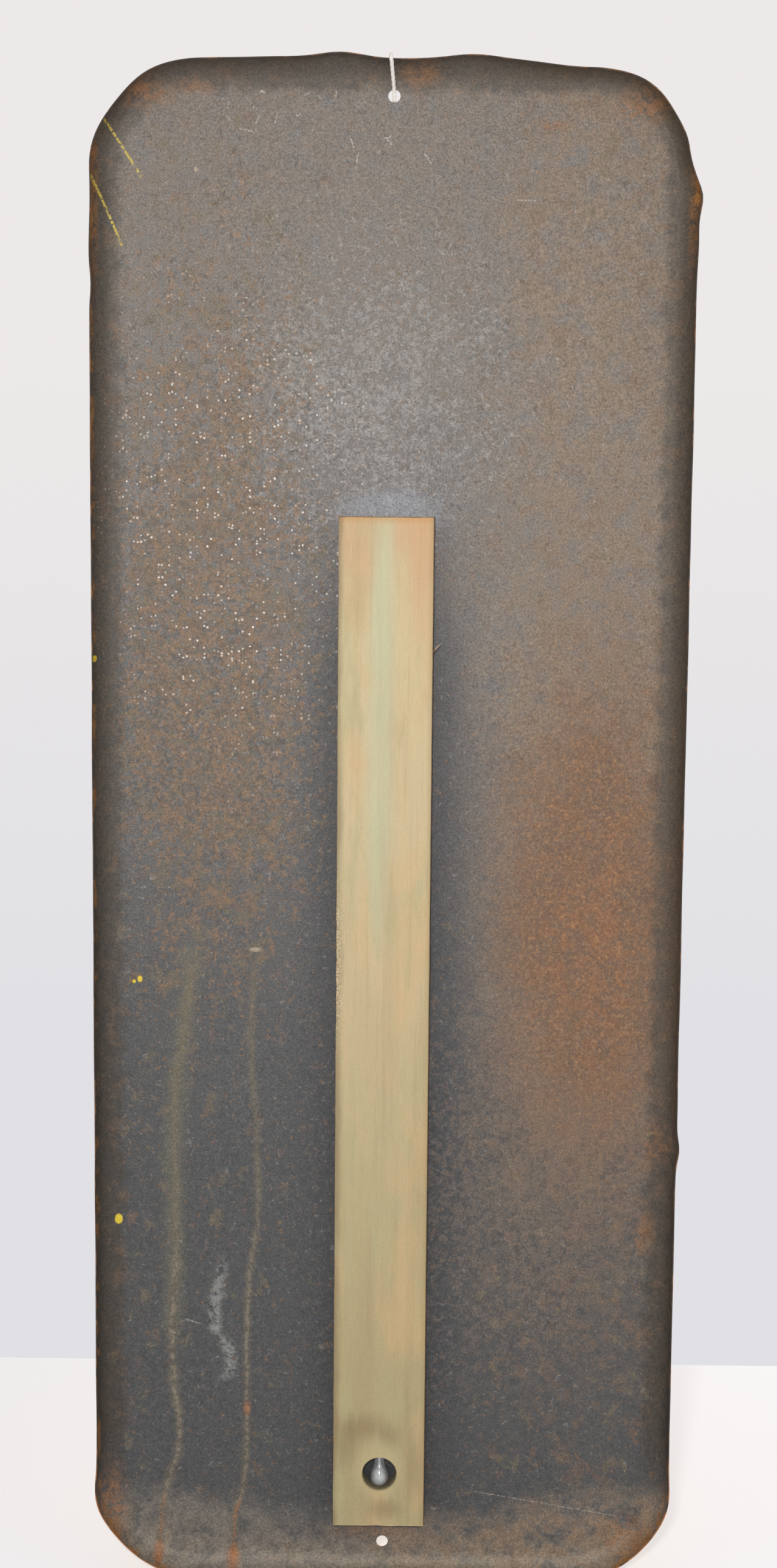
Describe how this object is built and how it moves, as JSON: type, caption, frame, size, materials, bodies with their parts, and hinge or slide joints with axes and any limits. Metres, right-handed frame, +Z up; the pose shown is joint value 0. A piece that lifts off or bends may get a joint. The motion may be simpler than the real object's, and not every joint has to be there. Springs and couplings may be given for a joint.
{
  "type": "wall thermometer",
  "caption": "Tall pressed steel wall thermometer: tray-shaped panel with a rolled rim, wooden backing strip, glass mercury tube in a groove, and a string in the upper nail hole.",
  "frame": {"origin": "on the wall plane, at the middle of the panel, on the wooden strip's back face", "axes": "+Z up along the panel's length, +Y from the wall towards the printed face, +X across the panel"},
  "size_m": [0.254, 0.0167, 0.6628],
  "materials": {
    "steel": "weathered",
    "wood": "bare, aged",
    "glass": "clear",
    "mercury": "liquid metal",
    "string": "twisted cotton",
    "staple": "dull",
    "brad": "dull, rusty"
  },
  "bodies": {
    "thermometer": {"panel": "steel", "backing_strip": "wood", "glass_tube": "glass", "bulb_mercury": "mercury", "mercury_column": "mercury", "hanging_string": "string", "string_knot": "string", "string_tails": "string", "tube_staple_1": "staple", "tube_staple_2": "staple", "tube_staple_3": "staple", "tube_staple_4": "staple", "strip_brad_1": "brad", "strip_brad_2": "brad", "strip_brad_3": "brad", "strip_brad_4": "brad", "strip_brad_5": "brad", "strip_brad_6": "brad"},
    "mercury_end": {"mercury_top": "mercury"}
  },
  "joints": [
    {"name": "temperature", "type": "slide", "parent": "thermometer", "child": "mercury_end", "axis": [0, 0, 1], "range_m": [-0.2464, 0.1056], "deforming": ["mercury_column"]}
  ]
}
